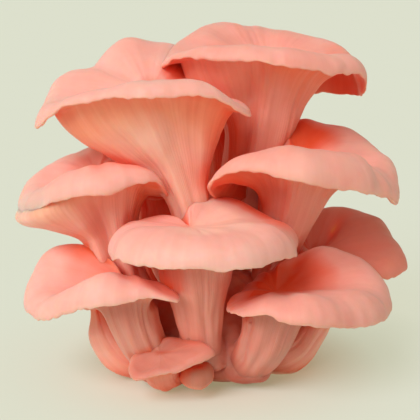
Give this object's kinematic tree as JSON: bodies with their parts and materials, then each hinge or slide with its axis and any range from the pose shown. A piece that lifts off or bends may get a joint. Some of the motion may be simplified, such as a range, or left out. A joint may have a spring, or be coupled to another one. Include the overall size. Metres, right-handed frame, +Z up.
{
  "type": "oyster mushroom cluster",
  "caption": "Cluster of pink oyster mushrooms: tiered, wavy-edged caps with ribbed gills, on curved stems that rise from one cut foot.",
  "frame": {"origin": "the middle of the flat cut face below the foot", "axes": "+Z up, -Y towards the viewer who sees the cluster from its front, +X to that viewer's right"},
  "size_m": [0.1522, 0.136, 0.1323],
  "materials": {
    "mushroom_flesh": "satin",
    "foot_flesh": "satin"
  },
  "bodies": {
    "root": {"cut_foot": "foot_flesh", "mushroom_top_left": "mushroom_flesh", "mushroom_top_right": "mushroom_flesh", "mushroom_right": "mushroom_flesh", "mushroom_left": "mushroom_flesh", "mushroom_front": "mushroom_flesh", "mushroom_low_left": "mushroom_flesh", "mushroom_low_right": "mushroom_flesh", "mushroom_right_rear": "mushroom_flesh", "mushroom_inner_left": "mushroom_flesh", "mushroom_back_left": "mushroom_flesh", "mushroom_back_right": "mushroom_flesh", "mushroom_back_low": "mushroom_flesh"}
  },
  "joints": []
}
